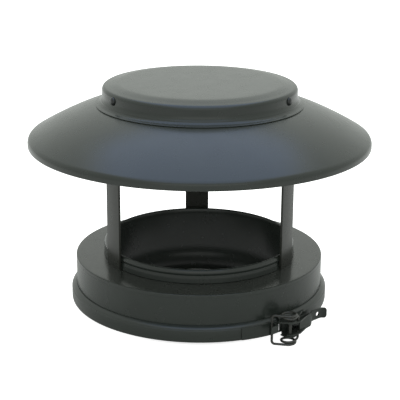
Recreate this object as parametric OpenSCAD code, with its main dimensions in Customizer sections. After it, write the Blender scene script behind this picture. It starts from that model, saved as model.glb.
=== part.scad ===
// Flue rain cap for a 150 mm twin-wall flue: crown and brim on three straps, insulated base,
// locking band with a spring-claw latch. Millimetres, +Z up, the liner's foot on z = 0.

/* [Crown and brim] */
// height of the crown's flat top
crown_top = 185.5; // [150:0.5:220]
// radius of the crown's side wall
crown_r = 77; // [60:0.1:95]
// radius of the crown's top corner
crown_corner = 4; // [2:0.5:10]
// radius of the brim's hem
brim_r = 136.1; // [110:0.5:160]
// height of the hem's lower edge
brim_z = 136.9; // [110:0.1:160]
// rise of the brim above a straight cone
brim_bulge = 2; // [0:0.1:8]
// sheet thickness of crown and brim
cap_t = 0.8; // [0.5:0.1:1.5]

/* [Posts] */
// width of a strap
post_w = 20; // [12:1:30]
// thickness of a strap
post_t = 1.5; // [1:0.1:3]
// direction of the first strap, degrees
post_az = 90; // [0:1:120]

/* [Base] */
// outer radius of the liner tube
liner_r = 75.2; // [60:0.1:90]
// wall of the liner
liner_t = 0.9; // [0.6:0.1:1.5]
// how much smaller the spigot end is, in radius
spigot_step = 0.7; // [0.2:0.1:1]
// outer radius of the casing
casing_r = 100; // [80:0.5:120]
// height of the casing's shoulder
shoulder_z = 45.4; // [35:0.1:70]
// height of the joint with the flue below
joint_z = 14; // [10:0.5:25]
// sheet thickness of the casing
casing_t = 0.8; // [0.5:0.1:1.5]

/* [Band and latch] */
// outer radius of the locking band
band_r = 104.2; // [95:0.1:125]
// sheet thickness of the band
band_t = 0.9; // [0.6:0.1:1.5]
// direction the latch faces, degrees
latch_az = 311.5; // [0:0.5:360]
// mid height of the latch
latch_z = 14; // [10:0.5:25]
// wire radius of the claw
wire_r = 0.95; // [0.6:0.05:1.5]
// mean radius of the claw's coils
coil_r = 5.45; // [4:0.05:8]
// height of each coil above or below the latch's middle
coil_z = 10.4; // [9:0.1:14]
// height the wire climbs from one end of a coil to the other
coil_rise = 2.4; // [2:0.1:5]

/* [Hidden] */
fn_big = 180;
fn_small = 48;
black = [0.10, 0.11, 0.11];
rivet_z = crown_top - 7.2;
rivet_r = 1.6;
post_deg = post_w / (liner_r + 4) * 180 / PI;
post_in = liner_r + 2.55;
post_top = crown_r - 1.8;
neck_r = crown_r - cap_t - 0.1;
// latch plan positions in its own frame, [outwards, along the band]
p_pin = [112, -9.4];
p_wire = [113.5, -2.2];
p_coil = [110.5, -9.4];
p_cross = [104.1, -21];
pin_r = 1.25;
ear_in = 5.5;
ear_t = 1;
lever_half = 5.4;
lever_ear_t = 1.1;
plate_r = band_r + 0.05;
plate_t = 0.8;

// ---- helpers ----
function arc(c, r, a0, a1, n) = [for (i = [0:n]) let (a = a0 + (a1 - a0) * i / n)
    [c[0] + r * cos(a), c[1] + r * sin(a)]];
function side(a, b) = let (d = b - a) [d[1], -d[0]] / norm(d);
function miter(p, i) = let (n1 = i > 0 ? side(p[i - 1], p[i]) : side(p[i], p[i + 1]),
    n2 = i < len(p) - 1 ? side(p[i], p[i + 1]) : n1) (n1 + n2) / (1 + n1 * n2);
function inset(p, t) = [for (i = [len(p) - 1:-1:0]) p[i] + t * miter(p, i)];
module sheet(p, t) rotate_extrude($fn = fn_big) polygon(concat(p, inset(p, t)));
module three() for (k = [0:2]) rotate([0, 0, post_az + 120 * k]) children();
module radial(r0, r1, rad, z) translate([r0, 0, z]) rotate([0, 90, 0])
    cylinder(r = rad, h = r1 - r0, $fn = fn_small);
module at_latch() translate([0, 0, latch_z]) rotate([0, 0, latch_az]) children();
module both() for (s = [-1, 1]) scale_z(s) children();
module scale_z(s) if (s > 0) children(); else mirror([0, 0, 1]) children();

// ---- crown and brim ----
module crown_cap() color(black) difference() {
    top = crown_top;
    cz = top - 9.8;
    k = crown_corner - 0.5;
    p = concat([[0, top], [50, top], [63.2, top - 0.03], [66, top - 0.26], [69, top - 0.78],
            [72, top - 1.4]],
        arc([crown_r - k, top - 1.6 - k], k, 76, 0, 8),
        arc([crown_r + 7.8, cz + 1.1], 7.8, 180, 215, 5),
        arc([crown_r + 5.9, cz - 0.55], 5.6, 217, 252, 5),
        [[crown_r + 5.6, cz - 6.35]]);
    sheet(p, cap_t);
    three() radial(68, 82, rivet_r + 0.05, rivet_z);
}

module brim() color(black) difference() {
    z0 = crown_top - 15.7;
    hem = 5;
    hz = brim_z + 3.1;
    r0 = neck_r + 1.8;
    r1 = brim_r - hem * (1 - cos(59));
    z1 = hz + hem * sin(59);
    p = concat([[neck_r, z0 + 9.8], [neck_r, z0 + 2], [neck_r + 0.45, z0 + 0.8]],
        [for (i = [0:16]) let (t = i / 16)
            [r0 + (r1 - r0) * t, z0 + (z1 - z0) * t + 4 * brim_bulge * t * (1 - t)]],
        arc([brim_r - hem, hz], hem, 51, 0, 7),
        [[brim_r, brim_z + 1]], arc([brim_r - 1, brim_z + 1], 1, -30, -90, 3),
        [[brim_r - 2.2, brim_z]]);
    sheet(p, cap_t);
    three() radial(68, 82, rivet_r + 0.05, rivet_z);
}

// strap from the collar up to the crown, stepping inwards under the brim
module post(az) color(black) rotate([0, 0, az]) difference() {
    rotate([0, 0, -post_deg / 2]) rotate_extrude(angle = post_deg, $fn = fn_big)
        polygon([[post_in, shoulder_z + 0.05], [post_in + post_t, shoulder_z + 0.05],
            [post_in + post_t, 158.4], [post_top, 165.2], [post_top, 182],
            [post_top - post_t, 182], [post_top - post_t, 164.8], [post_in, 158]]);
    radial(68, 82, rivet_r + 0.05, rivet_z);
}
module post_rear() post(post_az);
module post_left() post(post_az + 120);
module post_right() post(post_az + 240);

module crown_rivets() color(black) three() {
    radial(crown_r - 5.2, crown_r + 0.6, rivet_r, rivet_z);
    radial(crown_r - 5.2, crown_r - 3.5, 2.8, rivet_z);
    translate([crown_r + 0.2, 0, rivet_z]) rotate([0, 90, 0]) {
        cylinder(r = 3.3, h = 0.9, $fn = fn_small);
        translate([0, 0, 0.9]) cylinder(r1 = 3.3, r2 = 2.1, h = 0.9, $fn = fn_small);
    }
}

// ---- base ----
module liner() color(black) {
    z = shoulder_z;
    r = liner_r;
    // rolled beads outside, a plain bore inside
    p = [[r - 0.2, z + 10.7], [r + 1.2, z + 11.1], [r + 2.2, z + 10.7], [r + 2.5, z + 9.8],
        [r + 2.2, z + 8.8], [r + 1.3, z + 8.1], [r + 0.7, z + 7.6], [r + 0.7, z + 7.2],
        [r + 1.5, z + 6.8], [r + 2.2, z + 6.1], [r + 2.5, z + 5], [r + 2.5, z + 1.4],
        [r + 2.2, z + 0.5], [r + 1.4, z + 0.15], [r, z + 0.12],
        [r, joint_z + 1], [r - spigot_step, joint_z], [r - spigot_step, 0],
        [r - spigot_step - liner_t, 0], [r - spigot_step - liner_t, joint_z],
        [r - liner_t, joint_z + 1], [r - liner_t, z + 10.3]];
    rotate_extrude($fn = fn_big) polygon(p);
}

module shoulder_plate() color(black) {
    r = casing_r;
    p = concat([[liner_r + 0.15, shoulder_z]],
        arc([r - 1.6, shoulder_z - 1.6], 1.6, 90, 0, 6),
        [[r, shoulder_z - 2.2], [r - casing_t - 0.05, shoulder_z - 2.9],
         [r - casing_t - 0.05, shoulder_z - 9]]);
    sheet(p, casing_t);
}

module casing_wall() color(black) {
    r = casing_r;
    j = joint_z;
    p = [[r, shoulder_z - 3], [r, j + 5.4], [r + 1.2, j + 4.4], [r + 2.2, j + 3.2],
        [r + 2.5, j + 2.1], [r + 2.2, j + 1], [r + 1.2, j + 0.2], [r + 0.3, j]];
    sheet(p, casing_t);
}

module insulation_ring() color([0.55, 0.50, 0.36]) rotate_extrude($fn = fn_big)
    translate([liner_r + 1, joint_z + 1.9]) square([casing_r - liner_r - 2.95, 28]);

module bottom_ring() color(black) {
    r0 = liner_r + 0.1;
    r1 = casing_r - casing_t - 0.2;
    sheet([[r1, joint_z + 8], [r1, joint_z + 1], [r0, joint_z + 1], [r0, joint_z + 8]],
        casing_t);
}

// ---- band and latch ----
module locking_band() color(black) {
    r = band_r;
    z0 = 8;
    p = [[r - 3.3, z0 + 13.3], [r - 0.75, z0 + 10.9], [r - 0.2, z0 + 10.3], [r, z0 + 9.6],
        [r, z0 + 1.8], [r - 0.2, z0 + 1.1], [r - 0.8, z0 + 0.6], [r - 2.8, z0]];
    rotate([0, 0, latch_az - 6.5]) rotate_extrude(angle = 357.1, $fn = fn_big)
        polygon(concat(p, inset(p, band_t)));
}

// curved plate against the band, from one angle to another in the latch's frame
module band_plate(a0, a1, half_h) rotate([0, 0, a0])
    rotate_extrude(angle = a1 - a0, $fn = fn_big)
        translate([plate_r, -half_h]) square([plate_t, 2 * half_h]);

module latch_bracket() color(black) at_latch() {
    band_plate(-5.6, 7.6, ear_in + ear_t);
    for (low = [0, 1]) mirror([0, 0, low]) translate([0, 0, ear_in]) difference() {
        linear_extrude(ear_t) difference() {
            polygon([[102.4, 13.6], [111.9, -0.9], [112.2, -2.8], [113.9, -3.6],
                [115.2, -5.6], [115.8, -8.6], [114.9, -12],
                [108.4, -18.2], [106.2, -17.4], [104.9, -10.3], [103.9, 2]]);
            circle(r = plate_r + 0.3, $fn = fn_big);
            // the lower ear is cut short
            if (low == 1) translate([100, -20]) square([20, 6.6]);
        }
        translate([p_pin[0], p_pin[1], -1]) cylinder(r = pin_r + 0.05, h = 4, $fn = fn_small);
    }
}

module catch_plate() color(black) at_latch() {
    half = 5;
    band_plate(-25, -10.35, half);
    // the hook's wall and its limb over the crossbar, on the plate's upper part only
    translate([0, 0, -1]) linear_extrude(half + 1) polygon([[103.1, -18.75],
        [108.5, -18.75], [109.2, -19], [109.55, -19.7], [109.55, -26.6], [109.2, -27.2],
        [108.6, -26.8], [108.6, -20.3], [108.2, -19.9], [103, -19.9]]);
}

module lever_pin() color(black) at_latch() translate([p_pin[0], p_pin[1], 0]) {
    cylinder(r = pin_r, h = 15, center = true, $fn = fn_small);
    both() translate([0, 0, ear_in + ear_t + 0.05]) cylinder(r = 2.3, h = 0.95, $fn = fn_small);
}

// the lever's side shape: ear outline round both pivots
module lever_ear() difference() {
    union() {
        translate(p_pin) circle(r = 3.2, $fn = fn_small);
        translate(p_wire) circle(r = 2.4, $fn = fn_small);
        polygon([[109.2, -11], [108.6, -6], [107.6, 2], [108.4, 13.5], [109.6, 14.6],
            [111.8, 1.5], [115.6, -1.1], [114.9, -10.7]]);
    }
    translate(p_pin) circle(r = pin_r + 0.05, $fn = fn_small);
    translate(p_wire) circle(r = wire_r + 0.05, $fn = fn_small);
}

// centre line of the lever's plate from the pivots to the flared tip
lever_path = [[111.9, 0.2], [110.9, 8], [109.9, 14.5], [108.6, 17], [106.6, 19.5],
    [106.1, 22], [106.1, 29.5], [106.9, 31.8], [108.5, 33.6], [110.2, 34.6]];

module lever_strip(from, to) {
    p = [for (i = [from:to]) lever_path[i]];
    polygon(concat(p, inset(p, 1.2)));
}

module latch_lever() color(black) at_latch() difference() {
    union() {
        both() translate([0, 0, lever_half - lever_ear_t]) linear_extrude(lever_ear_t)
            lever_ear();
        translate([0, 0, -lever_half]) linear_extrude(2 * lever_half) lever_strip(0, 3);
        difference() {
            translate([0, 0, -4.2]) linear_extrude(8.4) lever_strip(2, 9);
            translate([104, 27, 0]) rotate([0, 90, 0]) cylinder(r = 1.8, h = 9, $fn = fn_small);
            // rounded corners of the tip
            both() translate([100, 32.6, 2.2]) rotate([0, 90, 0]) difference() {
                translate([-6, 0, 0]) cube([6, 6, 14]);
                cylinder(r = 2, h = 30, center = true, $fn = fn_small);
                translate([0, -1, -1]) cube([3, 9, 20]);
            }
        }
    }
}

// one half of the claw as stations [x, y, z, heading, pitch], from the lever to mid crossbar:
// up out of the lever, over a bend, round the coil, along the leg and down the crossbar
function station(q, z, h, p) = [q[0], q[1], z, h, p];
function toward(h) = [cos(h), sin(h)];
claw_half = let (
    dl = p_cross - p_coil,
    dw = p_wire - p_coil,
    al = atan2(dl[1], dl[0]) + acos(coil_r / norm(dl)),
    aw = atan2(dw[1], dw[0]) - acos(coil_r / norm(dw)),
    r1 = 1.5,
    r2 = 2.4,
    hw = aw - 90,
    hl = al - 450,
    z1 = coil_z - coil_rise / 2,
    z2 = coil_z + coil_rise / 2,
    k = p_cross - r2 * toward(hl)
) concat(
    [station(p_wire, 3.6, hw, 90)],
    [for (f = [0:15:90]) station(p_wire + r1 * (1 - cos(f)) * toward(hw),
        z1 - r1 + r1 * sin(f), hw, 90 - f)],
    [for (i = [0:48]) let (a = aw + (al - 360 - aw) * i / 48)
        station(p_coil + coil_r * toward(a), z1 + (z2 - z1) * i / 48, a - 90, 0)],
    [for (f = [0:15:90]) station(k + r2 * sin(f) * toward(hl), z2 - r2 * (1 - cos(f)), hl, -f)]);
claw_all = concat(claw_half, [for (i = [len(claw_half) - 1:-1:0]) let (c = claw_half[i])
    [c[0], c[1], -c[2], c[3], -180 - c[4]]]);
claw_n = 12;
function claw_ring(c) = let (h = c[3], p = c[4], nn = [-sin(h), cos(h), 0],
    tt = [cos(p) * cos(h), cos(p) * sin(h), sin(p)], bb = cross(tt, nn))
    [for (j = [0:claw_n - 1]) let (q = 360 * j / claw_n)
        [c[0], c[1], c[2]] + wire_r * (cos(q) * nn + sin(q) * bb)];
module spring_claw() color([0.16, 0.16, 0.15]) at_latch() {
    m = len(claw_all);
    polyhedron([for (c = claw_all) each claw_ring(c)], concat(
        [[for (j = [0:claw_n - 1]) j]],
        [for (i = [0:m - 2], j = [0:claw_n - 1]) let (a = i * claw_n + j,
            b = i * claw_n + (j + 1) % claw_n) each [[a, b + claw_n, b], [a, a + claw_n, b + claw_n]]],
        [[for (j = [claw_n - 1:-1:0]) (m - 1) * claw_n + j]]));
}

crown_cap();
brim();
post_rear();
post_left();
post_right();
crown_rivets();
liner();
shoulder_plate();
casing_wall();
insulation_ring();
bottom_ring();
locking_band();
latch_bracket();
catch_plate();
lever_pin();
latch_lever();
spring_claw();
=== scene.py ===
"""Looks of the flue rain cap: painted sheet-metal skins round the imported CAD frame."""

import math

import bmesh
import bpy
import numpy as np
from mathutils import Matrix, Vector
from mathutils.geometry import tessellate_polygon


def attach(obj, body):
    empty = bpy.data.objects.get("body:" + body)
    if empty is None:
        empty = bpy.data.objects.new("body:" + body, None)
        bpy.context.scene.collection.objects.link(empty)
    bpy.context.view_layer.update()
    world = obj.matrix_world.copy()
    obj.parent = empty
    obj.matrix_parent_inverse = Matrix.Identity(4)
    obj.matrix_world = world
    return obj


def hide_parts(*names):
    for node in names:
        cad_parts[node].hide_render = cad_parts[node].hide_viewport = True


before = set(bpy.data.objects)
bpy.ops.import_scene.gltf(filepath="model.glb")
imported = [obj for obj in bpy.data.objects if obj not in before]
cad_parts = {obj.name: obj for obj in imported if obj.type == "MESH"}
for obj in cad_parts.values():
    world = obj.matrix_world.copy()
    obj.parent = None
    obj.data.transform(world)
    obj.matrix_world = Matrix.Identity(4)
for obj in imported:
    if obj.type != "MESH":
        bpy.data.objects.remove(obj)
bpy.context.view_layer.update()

# driving sizes, in mm as in the CAD source; MM turns them into metres
MM = 0.001
SHEET = 0.8
CROWN_R = 77.0
CROWN_TOP = 185.5
RIVET_Z = CROWN_TOP - 7.2
NECK_R = 76.1
BRIM_R = 136.1
BRIM_FOOT = 136.9
HEM_R = 5.0
POST_AZ = (90.0, 210.0, 330.0)
LINER_R = 75.2
LINER_SHEET = 0.9
CASING_R = 100.0
SHOULDER_Z = 45.4
JOINT_Z = 14.0
BAND_R = 104.2
BAND_FOOT = 8.0
BAND_SHEET = 0.9
PLATE_R = (BAND_R + 0.05, BAND_R + 0.85)
EDGE = 0.2
# the latch's own frame: outwards from the axis, along the band, and up from the joint
LATCH_AZ = math.radians(311.5)
LATCH_Z = JOINT_Z
PIN = (112.0, -9.4)
WIRE = (113.5, -2.2)
COIL = (110.5, -9.4)
CROSSBAR = (104.1, -21.0)


# ---------------------------------------------------------------- outlines
def arc(cx, cz, r, a0, a1, n):
    """Points on an arc, angles in degrees."""
    out = []
    for i in range(n + 1):
        a = math.radians(a0 + (a1 - a0) * i / n)
        out.append((cx + r * math.cos(a), cz + r * math.sin(a)))
    return out


def circle(centre, r, n=28):
    """A closed circle of n points."""
    turns = [math.tau * i / n for i in range(n)]
    return [(centre[0] + r * math.cos(a), centre[1] + r * math.sin(a)) for a in turns]


def inset(path, t):
    """The path's other face, t to the right of its direction, in reverse order."""
    p = np.array(path, float)
    d = np.diff(p, axis=0)
    n = np.c_[d[:, 1], -d[:, 0]] / np.linalg.norm(d, axis=1)[:, None]
    first = np.vstack([n[:1], n])
    second = np.vstack([n, n[-1:]])
    off = (first + second) / (1 + (first * second).sum(1))[:, None]
    return [tuple(v) for v in (p + t * off)[::-1]]


def smooth_path(points, steps):
    """A rounder path through the given points (Catmull-Rom)."""
    p = [np.array(q, float) for q in points]
    out = []
    for i in range(len(p) - 1):
        a, b = p[i], p[i + 1]
        before = p[i - 1] if i else 2 * a - b
        after = p[i + 2] if i + 2 < len(p) else 2 * b - a
        for k in range(steps):
            t = k / steps
            square = (2 * before - 5 * a + 4 * b - after) * t * t
            cube = (3 * a - before - 3 * b + after) * t ** 3
            out.append(tuple(0.5 * (2 * a + (b - before) * t + square + cube)))
    out.append(tuple(p[-1]))
    return out


def hull(points):
    """Convex outline round a set of points."""
    pts = sorted(set((round(x, 5), round(y, 5)) for x, y in points))

    def half(seq):
        out = []
        for p in seq:
            while len(out) > 1 and ((out[-1][0] - out[-2][0]) * (p[1] - out[-2][1])
                                    - (out[-1][1] - out[-2][1]) * (p[0] - out[-2][0])) <= 0:
                out.pop()
            out.append(p)
        return out[:-1]
    return half(pts) + half(reversed(pts))


# ---------------------------------------------------------------- meshes
def link(name, data):
    obj = bpy.data.objects.new(name, data)
    bpy.context.scene.collection.objects.link(obj)
    return obj


def finish_mesh(bm, name, sharp=38.0):
    """Cleans the mesh, marks its sharp edges and shades the rest smooth."""
    bmesh.ops.remove_doubles(bm, verts=bm.verts, dist=2e-6)
    bmesh.ops.recalc_face_normals(bm, faces=bm.faces)
    for face in bm.faces:
        face.smooth = True
    limit = math.radians(sharp)
    for edge in bm.edges:
        if len(edge.link_faces) == 2:
            edge.smooth = edge.calc_face_angle(0.0) < limit
    mesh = bpy.data.meshes.new(name)
    bm.to_mesh(mesh)
    bm.free()
    return link(name, mesh)


def join(parts, name):
    """One object from several, which are removed."""
    bm = bmesh.new()
    for p in parts:
        bm.from_mesh(p.data)
        bpy.data.objects.remove(p)
    mesh = bpy.data.meshes.new(name)
    bm.to_mesh(mesh)
    bm.free()
    return link(name, mesh)


def bevel(obj, width):
    """Breaks the sharp edges a little."""
    mod = obj.modifiers.new("edge", "BEVEL")
    mod.width = width * MM
    mod.segments = 2
    mod.limit_method = "ANGLE"
    mod.angle_limit = math.radians(40.0)
    mod.harden_normals = True
    return obj


def revolve(name, loop, seg, a0=0.0, a1=360.0):
    """Turns a closed outline of (radius, height) round Z; seg is the steps of a full turn."""
    bm = bmesh.new()
    full = a1 - a0 >= 359.99
    spans = seg if full else max(2, int(seg * (a1 - a0) / 360.0))
    rings = []
    for i in range(spans if full else spans + 1):
        a = math.radians(a0 + (a1 - a0) * i / spans)
        c, s = math.cos(a), math.sin(a)
        rings.append([bm.verts.new((r * c * MM, r * s * MM, z * MM)) for r, z in loop])
    m = len(loop)
    for i in range(spans):
        one, two = rings[i], rings[(i + 1) % len(rings)]
        for j in range(m):
            k = (j + 1) % m
            on_axis = loop[j][0] < 1e-6 and loop[k][0] < 1e-6
            if not on_axis:
                bm.faces.new((one[j], one[k], two[k], two[j]))
    if not full:
        bm.faces.new(rings[0])
        bm.faces.new(list(reversed(rings[-1])))
    bmesh.ops.dissolve_degenerate(bm, dist=1e-7, edges=bm.edges)
    return finish_mesh(bm, name)


def sheet(name, path, t, **turn):
    """Sheet metal of thickness t whose outer face follows the path, turned round Z."""
    return bevel(revolve(name, list(path) + inset(path, t), **turn), 0.18 * t)


def loft(bm, rings):
    """A bar through following rings of vertices, with both ends closed."""
    m = len(rings[0])
    for one, two in zip(rings, rings[1:]):
        for j in range(m):
            k = (j + 1) % m
            bm.faces.new((one[j], one[k], two[k], two[j]))
    bm.faces.new(rings[0])
    bm.faces.new(list(reversed(rings[-1])))


def to_latch(out, along, up):
    """A point of the latch's own frame, in metres."""
    c, s = math.cos(LATCH_AZ), math.sin(LATCH_AZ)
    return Vector(((out * c - along * s) * MM, (out * s + along * c) * MM, (LATCH_Z + up) * MM))


def slab(bm, loops, low_point, high_point):
    """A plate between two copies of an outline with holes; returns its flat faces."""
    tris = tessellate_polygon([[Vector((x, y, 0.0)) for x, y in loop] for loop in loops])
    flat = [p for loop in loops for p in loop]
    low = [bm.verts.new(low_point(*p)) for p in flat]
    high = [bm.verts.new(high_point(*p)) for p in flat]
    faces = []
    for a, b, c in tris:
        faces.append(bm.faces.new((low[a], low[b], low[c])))
        faces.append(bm.faces.new((high[c], high[b], high[a])))
    start = 0
    for loop in loops:
        for i in range(len(loop)):
            a, b = start + i, start + (i + 1) % len(loop)
            bm.faces.new((low[a], low[b], high[b], high[a]))
        start += len(loop)
    return faces


def prism(bm, outline, z0, z1, holes=()):
    """A flat plate in the latch's frame, from z0 to z1."""
    faces = slab(bm, [list(outline)] + [list(h) for h in holes],
                 lambda x, y: to_latch(x, y, z0), lambda x, y: to_latch(x, y, z1))
    bmesh.ops.recalc_face_normals(bm, faces=bm.faces)
    inner = [e for f in faces for e in f.edges if len(e.link_faces) == 2
             and e.link_faces[0] in faces and e.link_faces[1] in faces
             and e.calc_face_angle(0.0) < 0.01]
    bmesh.ops.dissolve_edges(bm, edges=list(set(inner)), use_verts=False)


# ---------------------------------------------------------------- materials
def map_range(tree, source, start, end, low, high):
    """A node that maps start to end of its source onto low to high, and clamps it."""
    node = tree.nodes.new("ShaderNodeMapRange")
    for label, value in (("From Min", start), ("From Max", end), ("To Min", low), ("To Max", high)):
        node.inputs[label].default_value = value
    tree.links.new(source, node.inputs["Value"])
    return node


def calculate(tree, operation, *sources):
    """The output of a maths node on one or two sources."""
    node = tree.nodes.new("ShaderNodeMath")
    node.operation = operation
    for socket, source in zip(node.inputs, sources):
        tree.links.new(source, socket)
    return node.outputs["Value"]


def plain(name, colour, rough):
    mat = bpy.data.materials.new(name)
    mat.use_nodes = True
    bsdf = mat.node_tree.nodes["Principled BSDF"]
    bsdf.inputs["Base Color"].default_value = (*colour, 1)
    bsdf.inputs["Roughness"].default_value = rough
    return mat


def paint(name, base, rough, wave=0.0, peel=0.05, dust_and_top_light=0.0, ior=1.42):
    """Sprayed stove paint: faint orange peel, slight unevenness of the sheet, and on upward faces a
    pale colour that is partly dust and partly painted light from overhead.
    """
    mat = plain(name, base, rough)
    nt = mat.node_tree
    nd, ln = nt.nodes, nt.links
    bsdf = nd["Principled BSDF"]
    bsdf.inputs["IOR"].default_value = ior
    tex = nd.new("ShaderNodeTexCoord")

    def noise(scale, detail, roughness=0.5):
        n = nd.new("ShaderNodeTexNoise")
        n.inputs["Scale"].default_value = scale
        n.inputs["Detail"].default_value = detail
        n.inputs["Roughness"].default_value = roughness
        ln.new(tex.outputs["Object"], n.inputs["Vector"])
        return n.outputs["Fac"]

    def ramp(source, start, end, low, high):
        return map_range(nt, source, start, end, low, high).outputs["Result"]

    def bump(height, distance):
        node = nd.new("ShaderNodeBump")
        node.inputs["Strength"].default_value = 1.0
        node.inputs["Distance"].default_value = distance * MM
        ln.new(height, node.inputs["Height"])
        return node

    # colour: two near shades, and on faces that look up a pale colour that is partly dust and partly
    # painted light from overhead
    tone = nd.new("ShaderNodeMix")
    tone.data_type = "RGBA"
    tone.inputs["A"].default_value = (*[c * 0.82 for c in base], 1)
    tone.inputs["B"].default_value = (*[c * 1.22 for c in base], 1)
    ln.new(ramp(noise(45, 4), 0.2, 0.8, 0.2, 0.8), tone.inputs["Factor"])
    colour = tone.outputs["Result"]
    # the pale mix on up-facing faces is some real dust and some painted overhead light that brightens
    # the tops
    if dust_and_top_light:
        geo = nd.new("ShaderNodeNewGeometry")
        sep = nd.new("ShaderNodeSeparateXYZ")
        ln.new(geo.outputs["Normal"], sep.inputs["Vector"])
        up = ramp(sep.outputs["Z"], 0.86, 1.0, 0, dust_and_top_light)
        patchy = ramp(noise(60, 6, 0.65), 0.3, 0.8, 0.7, 1)
        dust_and_top_light_mix = nd.new("ShaderNodeMix")
        dust_and_top_light_mix.data_type = "RGBA"
        dust_and_top_light_mix.inputs["B"].default_value = (0.30, 0.30, 0.28, 1)
        ln.new(colour, dust_and_top_light_mix.inputs["A"])
        ln.new(calculate(nt, "MULTIPLY", up, patchy), dust_and_top_light_mix.inputs["Factor"])
        colour = dust_and_top_light_mix.outputs["Result"]
    ln.new(colour, bsdf.inputs["Base Color"])
    ln.new(ramp(noise(70, 5, 0.6), 0.3, 0.7, rough * 0.93, rough * 1.09), bsdf.inputs["Roughness"])
    # relief: long waves of the pressed sheet, then orange peel
    wavy = bump(noise(14, 1), wave)
    fine = bump(noise(520, 2), peel * 0.2)
    ln.new(wavy.outputs["Normal"], fine.inputs["Normal"])
    ln.new(fine.outputs["Normal"], bsdf.inputs["Normal"])
    return mat


# the dust amounts here are partly real dust and partly painted overhead light on the flat top and
# other upward faces
BODY = paint("black_paint", (0.0155, 0.0190, 0.0165), 0.26, wave=0.03, dust_and_top_light=0.1)
BAND = paint("band_paint", (0.0165, 0.0200, 0.0175), 0.29, wave=0.03, dust_and_top_light=0.02)
STRAP = paint("strap_paint", (0.0180, 0.0190, 0.0160), 0.28, wave=0.02, ior=1.33)
RIVET = paint("rivet_paint", (0.010, 0.011, 0.011), 0.30)
CLAW = paint("claw_wire", (0.030, 0.030, 0.027), 0.30, peel=0.04)
WOOL = plain("mineral_wool", (0.45, 0.41, 0.28), 0.95)


def dress(obj, mat, body, nodes):
    """Paints a skin and puts it in the place of its CAD nodes."""
    obj.data.materials.clear()
    obj.data.materials.append(mat)
    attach(obj, body)
    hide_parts(*nodes)


# ---------------------------------------------------------------- crown and brim
def crown():
    """Flat top, eased edge, rolled corner, upright wall and a foot that flares over the brim."""
    top, roll, foot = CROWN_TOP, 3.3, CROWN_TOP - 9.8
    cove, flare = 7.8, 5.6
    path = [(r, top) for r in (0, 25, 44, 58)]
    path += [(63, top - 0.03), (64.2, top - 0.11), (65.6, top - 0.31), (67.2, top - 0.62),
             (68.8, top - 0.95), (70.4, top - 1.3), (72, top - 1.66)]
    path += arc(CROWN_R - roll, top - 5.15, roll, 74, 0, 18)
    path += arc(CROWN_R + cove, foot + 1.1, cove, 180, 215, 14)
    path += arc(CROWN_R + 5.9, foot - 0.55, flare, 217, 252, 12)
    path += [(CROWN_R + flare, foot - 6.5)]
    return sheet("crown_skin", path, SHEET, seg=288)


def brim():
    """Neck inside the crown, bulging slope, rolled hem and a short turned-in foot."""
    slope_z, hem_z, bulge, turn = CROWN_TOP - 15.7, 140.0, 2.0, math.radians(59)
    slope_r = NECK_R + 1.8
    end_r = BRIM_R - HEM_R * (1 - math.cos(turn))
    end_z = hem_z + HEM_R * math.sin(turn)
    path = [(NECK_R, slope_z + 9.8), (NECK_R, slope_z + 2), (NECK_R + 0.15, slope_z + 1.4),
            (NECK_R + 0.45, slope_z + 0.8), (NECK_R + 0.95, slope_z + 0.35)]
    steps = 40
    for i in range(steps + 1):
        t = i / steps
        z = slope_z + (end_z - slope_z) * t + 4 * bulge * t * (1 - t)
        path.append((slope_r + (end_r - slope_r) * t, z))
    path += arc(BRIM_R - HEM_R, hem_z, HEM_R, 54, 0, 16)
    path += [(BRIM_R, BRIM_FOOT + 1.0)]
    path += arc(BRIM_R - 1, BRIM_FOOT + 1, 1, -20, -90, 6)
    path += [(BRIM_R - 2.2, BRIM_FOOT)]
    return sheet("brim_skin", path, SHEET, seg=320)


def post(name, az):
    """A crowned strap: concentric inside, rounder outside, stepping in under the brim."""
    half_width, outer_r, inner_r, crowning = 9.97, 79.24, 77.76, 260.0
    bend_z, bend_rise, bend_depth = 158.2, 6.8, 4.06
    a = math.radians(az)
    c, s = math.cos(a), math.sin(a)
    levels = [SHOULDER_Z + 0.07, SHOULDER_Z + 0.6] + [48 + 4 * i for i in range(28)]
    levels += [157.6 + 0.6 * i for i in range(14)] + [168, 175, 181.95]
    across = [half_width * math.sin(math.radians(9 * k)) for k in range(-10, 11)]
    section = [(outer_r - t * t / crowning, t) for t in across]
    section += [(math.sqrt(inner_r ** 2 - t * t), t) for t in reversed(across)]
    bm = bmesh.new()
    rings = []
    for z in levels:
        u = min(1.0, max(0.0, (z - bend_z) / bend_rise))
        shift = -bend_depth * u * u * (3 - 2 * u)
        place = [((r + shift) * c - t * s, (r + shift) * s + t * c) for r, t in section]
        rings.append([bm.verts.new((x * MM, y * MM, z * MM)) for x, y in place])
    loft(bm, rings)
    return bevel(finish_mesh(bm, name), 0.15)


def rivets():
    """Three pan heads outside the crown wall, with their set ends inside."""
    q = CROWN_R
    head = [(0, q + 1.98), (0.9, q + 1.94), (1.6, q + 1.8), (2.3, q + 1.5), (2.8, q + 1.1),
            (3.15, q + 0.65), (3.28, q + 0.35), (3.24, q + 0.12), (0, q + 0.1)]
    tail = [(0, q + 0.3), (1.6, q + 0.3), (1.6, q - 3.4), (2.75, q - 3.5), (2.6, q - 4.2),
            (2.0, q - 4.8), (1.0, q - 5.15), (0, q - 5.18)]
    outwards = Matrix.Rotation(math.radians(90), 4, "Y")
    lift = Matrix.Translation((0, 0, RIVET_Z * MM))
    parts = []
    for az in POST_AZ:
        for loop in (head, tail):
            piece = revolve("part", loop, seg=32)
            piece.data.transform(Matrix.Rotation(math.radians(az), 4, "Z") @ lift @ outwards)
            parts.append(piece)
    return join(parts, "rivet_heads")


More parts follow.
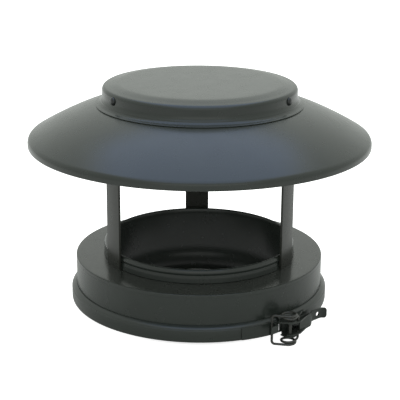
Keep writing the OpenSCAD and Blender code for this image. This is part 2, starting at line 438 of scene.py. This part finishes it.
# ---------------------------------------------------------------- base
def liner():
    """Collar with a rolled rim over a bead, plain bore, and a spigot below."""
    r, z, foot_r = LINER_R, SHOULDER_Z, LINER_R - 0.7
    bore, bore_foot = r - LINER_SHEET, foot_r - LINER_SHEET
    collar = [(r - 0.3, z + 10.75), (r + 0.2, z + 11.1), (r + 0.8, z + 10.8), (r + 1.5, z + 9.9),
              (r + 1.9, z + 9.0), (r + 2.05, z + 8.1), (r + 2.0, z + 7.3), (r + 1.8, z + 6.7),
              (r + 1.7, z + 6.3), (r + 1.75, z + 5.9), (r + 1.85, z + 5.0), (r + 2.0, z + 4.0),
              (r + 2.15, z + 2.4), (r + 2.3, z + 1.0), (r + 2.3, z + 0.35), (r + 1.4, z + 0.12),
              (r, z + 0.12)]
    outer = smooth_path(collar, 4) + [(r, z - 4), (r, 24), (r, 15), (foot_r, 14), (foot_r, 0)]
    inner = [(bore_foot, 0), (bore_foot, 13.6), (bore, 14.6), (bore, 24), (bore, 36),
             (bore, z), (bore, z + 6), (bore, z + 10.2), (r - 0.7, z + 10.55)]
    return revolve("liner_skin", outer + inner, seg=256)


def shoulder():
    """Top plate, rounded over the wall and tucked in behind it."""
    r, z, corner, lap = CASING_R, SHOULDER_Z, 0.8, CASING_R - 0.85
    path = [(x, z) for x in (LINER_R + 0.15, 84, 92, 97)]
    path += arc(r - corner, z - corner, corner, 90, 0, 8)
    path += [(r, z - 2.2), (r, z - 2.94), (r - 0.75, z - 2.94), (lap, z - 3.2), (lap, z - 9)]
    return sheet("shoulder_skin", path, SHEET, seg=288)


def wall():
    """Outer wall with the bead that the band holds."""
    r, j = CASING_R, JOINT_Z
    bead = [(r, j + 5.4), (r + 1.2, j + 4.4), (r + 2.2, j + 3.2), (r + 2.5, j + 2.1),
            (r + 2.2, j + 1), (r + 1.2, j + 0.2), (r + 0.3, j)]
    path = [(r, z) for z in (SHOULDER_Z - 3, 36, 28, 22)] + smooth_path(bead, 4)
    return sheet("casing_skin", path, SHEET, seg=288)


# ---------------------------------------------------------------- band and latch
def band():
    """Open channel-section ring: sloping lip with a shallow crease, upright face, short foot."""
    r, z = BAND_R, BAND_FOOT
    lip = [(r - 4.1, z + 13.25), (r - 3.7, z + 13.3), (r - 3.1, z + 12.95), (r - 1.9, z + 12.05)]
    crease = [(r - 0.95, z + 11.25), (r - 0.75, z + 10.85), (r - 0.6, z + 10.55), (r - 0.25, z + 10.4)]
    face = [(r - 0.08, z + 10.1), (r, z + 9.7), (r, z + 6), (r, z + 1.8)]
    foot = [(r - 0.12, z + 1.2), (r - 0.4, z + 0.8), (r - 0.8, z + 0.6), (r - 2.8, z)]
    start, turn = math.degrees(LATCH_AZ) - 6.5, 357.1
    path = lip + crease + face + foot
    return sheet("band_skin", path, BAND_SHEET, seg=320, a0=start, a1=start + turn)


def curved_plate(bm, a0, a1, half_height):
    """A plate lying against the band, between two angles of the latch's frame."""
    back, front = PLATE_R
    corners = [(back, -half_height), (front, -half_height), (front, half_height), (back, half_height)]
    steps = 14
    rings = []
    for i in range(steps + 1):
        a = math.radians(a0 + (a1 - a0) * i / steps)
        rings.append([bm.verts.new(to_latch(r * math.cos(a), r * math.sin(a), z)) for r, z in corners])
    loft(bm, rings)


def bracket():
    """Plate with two ears that hold the pin; the lower ear is cut short."""
    bm = bmesh.new()
    ear_in, ear_out = 5.5, 6.5
    curved_plate(bm, -5.6, 7.6, ear_out)
    front = [(104.0, 13.0), (104.9, 11.6), (111.9, -0.9), (112.0, -2.2), (112.5, -3.0), (113.6, -3.7),
             (114.6, -4.6), (115.3, -5.9), (115.7, -8.0), (115.5, -9.9), (114.8, -11.6),
             (113.8, -12.9)]
    long_end = [(108.9, -17.5), (108.0, -17.9), (107.0, -17.7), (106.5, -17.0)]
    short_end = [(112.6, -13.3), (111.6, -13.4), (105.9, -13.4)]
    back = [(105.3, -10.0), (104.7, -4.0), (104.8, 0.0), (104.7, 4.0), (104.4, 9.0)]
    for z0, z1, end in ((ear_in, ear_out, long_end), (-ear_out, -ear_in, short_end)):
        prism(bm, front + end + back, z0, z1, [circle(PIN, 1.3)])
    return bevel(finish_mesh(bm, "bracket_skin"), EDGE)


def catch():
    """Plate with the hook that the claw's crossbar pulls on."""
    bm = bmesh.new()
    curved_plate(bm, -25, -10.35, 5)
    hook = [(103.2, -18.75), (107.4, -18.75)]
    hook += arc(108.2, -20.1, 1.35, 90, 0, 8)
    hook += [(109.55, -26.4)] + arc(109.1, -26.75, 0.45, 0, -180, 6)
    hook += [(108.62, -20.6)] + arc(108.2, -20.3, 0.4, 0, 90, 4)
    hook += [(103.2, -19.9)]
    prism(bm, hook, -1, 5)
    return bevel(finish_mesh(bm, "catch_skin"), EDGE)


def pin():
    """Pivot pin with two domed heads."""
    half = [(0, 7.62), (0.9, 7.58), (1.6, 7.4), (2.1, 7.1), (2.3, 6.8), (2.28, 6.56), (1.25, 6.54)]
    obj = revolve("pin_skin", half + [(r, -z) for r, z in reversed(half)], seg=40)
    obj.data.transform(Matrix.Translation(to_latch(*PIN, 0)))
    return obj


LEVER_PATH = [(111.9, 0.2), (110.9, 8), (109.9, 14.5), (108.6, 17), (106.6, 19.5),
              (106.1, 22), (106.1, 29.5), (106.9, 31.8), (108.5, 33.6), (110.2, 34.6)]


def lever():
    """Plate with a narrower, holed and flared end, bent along the lever's path, with ears."""
    path = np.array(smooth_path(LEVER_PATH, 6))
    run = np.r_[0, np.cumsum(np.linalg.norm(np.diff(path, axis=0), axis=1))]
    length = run[-1]
    neck = run[np.argmin(abs(path[:, 1] - 15.2))]
    hole = run[np.argmin(abs(path[:, 1] - 26.6))]
    wide, narrow, corner, thick, cut = 5.35, 4.15, 2.2, 1.2, 0.9

    def at(s):
        """The path's point at the length s, and its outward normal."""
        s = min(max(s, 0.0), length)
        i = min(int(np.searchsorted(run, s, "right")) - 1, len(run) - 2)
        f = (s - run[i]) / (run[i + 1] - run[i])
        d = path[min(i + 2, len(path) - 1)] - path[max(i - 1, 0)]
        d /= np.linalg.norm(d)
        return path[i] + (path[i + 1] - path[i]) * f, np.array([d[1], -d[0]])

    # the plate is drawn flat, cut across into short strips and then bent
    side = [(0, wide), (neck - 0.6, wide)] + arc(neck - 0.6, wide - 0.6, 0.6, 90, 20, 4)
    side += arc(neck + 1.2, narrow + 0.7, 0.7, 200, 270, 4)
    side += [(length - corner, narrow)] + arc(length - corner, narrow - corner, corner, 80, 0, 7)
    outline = side + [(s, -z) for s, z in reversed(side)]
    bm = bmesh.new()
    slab(bm, [outline, circle((hole, 0.0), 1.85)],
         lambda x, y: (x, y, 0.0), lambda x, y: (x, y, thick))
    s = cut / 2
    while s < length:
        bmesh.ops.bisect_plane(bm, geom=bm.verts[:] + bm.edges[:] + bm.faces[:],
                               plane_co=(s, 0, 0), plane_no=(1, 0, 0), dist=1e-5)
        s += cut
    for v in bm.verts:
        point, normal = at(v.co.x)
        point = point + normal * v.co.z
        v.co = to_latch(point[0], point[1], v.co.y)
    ear = hull(circle(PIN, 3.2) + circle(WIRE, 2.4) + [(108.6, 6.0), (109.0, 14.0),
                                                       (110.2, 14.2), (111.9, 1.4)])
    for z0, z1 in ((4.3, wide), (-wide, -4.3)):
        prism(bm, ear, z0, z1, [circle(PIN, 1.3, 20), circle(WIRE, 1.0, 16)])
    return bevel(finish_mesh(bm, "lever_skin", 30), EDGE)


def claw():
    """Spring wire: lever end, coil, leg, crossbar and the same again below."""
    wire_r, coil_r, coil_low, coil_high = 0.95, 5.45, 9.2, 11.6
    end_z, end_bend, bar_bend = 3.6, 1.5, 2.4

    def unit(a):
        return np.array([math.cos(a), math.sin(a)])

    wire, coil, bar = np.array(WIRE), np.array(COIL), np.array(CROSSBAR)
    to_bar, to_wire = bar - coil, wire - coil
    bar_turn = math.atan2(to_bar[1], to_bar[0]) + math.acos(coil_r / np.linalg.norm(to_bar))
    wire_turn = math.atan2(to_wire[1], to_wire[0]) - math.acos(coil_r / np.linalg.norm(to_wire))
    wire_run, bar_run = unit(wire_turn - math.pi / 2), unit(bar_turn - math.pi / 2)
    quarter = [math.radians(90 * i / 8) for i in range(9)]
    half = [(*wire, end_z), (*wire, 5.5)]
    for f in quarter:
        half.append((*(wire + end_bend * (1 - math.cos(f)) * wire_run),
                     coil_low - end_bend + end_bend * math.sin(f)))
    steps = 96
    for i in range(steps + 1):
        a = wire_turn + (bar_turn - math.tau - wire_turn) * i / steps
        half.append((*(coil + coil_r * unit(a)), coil_low + (coil_high - coil_low) * i / steps))
    for f in quarter:
        half.append((*(bar - bar_bend * (1 - math.sin(f)) * bar_run),
                     coil_high - bar_bend * (1 - math.cos(f))))
    route = half + [(x, y, -z) for x, y, z in reversed(half)]
    curve = bpy.data.curves.new("claw_skin", "CURVE")
    curve.dimensions = "3D"
    curve.bevel_depth = wire_r * MM
    curve.bevel_resolution = 4
    curve.use_fill_caps = True
    spline = curve.splines.new("POLY")
    spline.points.add(len(route) - 1)
    for point, place in zip(spline.points, route):
        point.co = (*to_latch(*place), 1)
    spline.use_smooth = True
    return link("claw_skin", curve)


dress(crown(), BODY, "cowl", ["crown_cap"])
dress(brim(), BODY, "cowl", ["brim"])
for label, az in zip(("rear", "left", "right"), POST_AZ):
    dress(post("post_%s_skin" % label, az), STRAP, "cowl", ["post_" + label])
dress(rivets(), RIVET, "cowl", ["crown_rivets"])
dress(liner(), BODY, "cowl", ["liner"])
dress(shoulder(), BODY, "cowl", ["shoulder_plate"])
dress(wall(), BODY, "cowl", ["casing_wall"])
dress(band(), BAND, "band", ["locking_band"])
dress(bracket(), BAND, "band", ["latch_bracket"])
dress(catch(), BAND, "band", ["catch_plate"])
dress(pin(), CLAW, "band", ["lever_pin"])
dress(lever(), BAND, "lever", ["latch_lever"])
dress(claw(), CLAW, "claw", ["spring_claw"])
# the wool and the ring under it are hidden, so their CAD nodes stay and only get a material
for name, mat in (("insulation_ring", WOOL), ("bottom_ring", BODY)):
    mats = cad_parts[name].data.materials
    mats.clear()
    mats.append(mat)


# ---------------------------------------------------------------- floor, light, camera
# places and distances from here on are in metres
CAMERA_GLOW = 0.95
PAINT_GLOW = 0.03
SIDE_GLOW = 0.22
SIDE_X = (0.11, 0.2)
# inside the flue the floor's glow drops to this, a painted shade standing for the dark deep flue below
FLUE_PAINTED_SHADE = 0.013
FLUE_EDGE = (0.076, 0.088)
SKY = (0.87, 1.06)


def stage():
    """White paper that glows for the camera, hardly for the paint, and not inside the flue, where it
    is painted near black as painted shade of the deep flue below.
    """
    half, z = 12.0, -0.0002
    mesh = bpy.data.meshes.new("floor")
    mesh.from_pydata([(-half, -half, z), (half, -half, z), (half, half, z), (-half, half, z)],
                     [], [(0, 1, 2, 3)])
    floor = link("floor", mesh)
    mat = plain("floor_paper", (0.70, 0.70, 0.70), 0.9)
    nt = mat.node_tree
    bsdf = nt.nodes["Principled BSDF"]
    bsdf.inputs["Specular IOR Level"].default_value = 0.1
    bsdf.inputs["Emission Color"].default_value = (1, 1, 1, 1)
    path = nt.nodes.new("ShaderNodeLightPath")
    geo = nt.nodes.new("ShaderNodeNewGeometry")
    away = nt.nodes.new("ShaderNodeVectorMath")
    away.operation = "LENGTH"
    nt.links.new(geo.outputs["Position"], away.inputs[0])
    # painted shade: the floor goes near black inside the flue ring
    edge = map_range(nt, away.outputs["Value"], *FLUE_EDGE, FLUE_PAINTED_SHADE, 1.0)
    # beside the cap the paper glows a little more for the paint
    sep = nt.nodes.new("ShaderNodeSeparateXYZ")
    nt.links.new(geo.outputs["Position"], sep.inputs["Vector"])
    aside = calculate(nt, "ABSOLUTE", sep.outputs["X"])
    sides = map_range(nt, aside, *SIDE_X, PAINT_GLOW, SIDE_GLOW)
    glow = map_range(nt, path.outputs["Is Camera Ray"], 0.0, 1.0, PAINT_GLOW, CAMERA_GLOW)
    nt.links.new(sides.outputs["Result"], glow.inputs["To Min"])
    strength = calculate(nt, "MULTIPLY", edge.outputs["Result"], glow.outputs["Result"])
    nt.links.new(strength, bsdf.inputs["Emission Strength"])
    floor.data.materials.append(mat)


def softbox(name, place, target, size, watts, colour=(1, 1, 1)):
    light = bpy.data.lights.new(name, "AREA")
    light.shape = "RECTANGLE"
    light.size, light.size_y = size
    light.energy = watts
    light.color = colour
    obj = link(name, light)
    obj.location = place
    obj.rotation_euler = (Vector(target) - Vector(place)).to_track_quat("-Z", "Y").to_euler()
    return obj


def lights():
    """White and blue panels overhead, a low one in front and a faint one in the flue."""
    softbox("overhead", (0, -0.15, 1.9), (0, -0.15, 0), (2.4, 2.9), 13.0, (0.95, 1.0, 1.0))
    blue = softbox("skylight", (0, -0.15, 1.8), (0, -0.15, 0), (1.9, 2.9), 19.0, (0.03, 0.28, 1.0))
    blue.visible_diffuse = False
    softbox("front", (0, -2.1, 0.82), (0, 0, 0.15), (2.4, 0.8), 3.4)
    fill = softbox("flue fill", (0, 0, 0.003), (0, 0, 1), (0.12, 0.12), 0.022)
    fill.visible_camera = False


def studio():
    """A pale room, slightly brighter towards its ceiling."""
    world = bpy.data.worlds.new("studio")
    world.use_nodes = True
    nt = world.node_tree
    back = nt.nodes["Background"]
    tex = nt.nodes.new("ShaderNodeTexCoord")
    sep = nt.nodes.new("ShaderNodeSeparateXYZ")
    nt.links.new(tex.outputs["Generated"], sep.inputs["Vector"])
    rise = map_range(nt, sep.outputs["Z"], 0.0, 0.7, *SKY)
    nt.links.new(rise.outputs["Result"], back.inputs["Strength"])
    back.inputs["Color"].default_value = (0.97, 1.02, 0.965, 1)
    bpy.context.scene.world = world


def camera():
    """A long lens at given numbers, a little above, looking slightly down."""
    distance, height = 0.925, 0.3825
    pitch, roll, turn = math.radians(17.674), math.radians(0.35), math.radians(-1.5)
    forward = Vector((0, math.cos(pitch), -math.sin(pitch)))
    right = Vector((1, 0, 0))
    up = right.cross(forward)
    x = right * math.cos(roll) + up * math.sin(roll)
    y = -right * math.sin(roll) + up * math.cos(roll)
    place = Matrix((x, y, -forward)).transposed().to_4x4()
    place.translation = Vector((0, -distance, height))
    data = bpy.data.cameras.new("camera")
    data.sensor_width = 36
    data.lens = 107.83
    data.shift_x = 0.0018
    data.clip_start = 0.01
    cam = link("camera", data)
    cam.matrix_world = Matrix.Rotation(turn, 4, "Z") @ place
    bpy.context.scene.camera = cam


stage()
lights()
studio()
camera()
bpy.context.scene.view_settings.view_transform = "Standard"
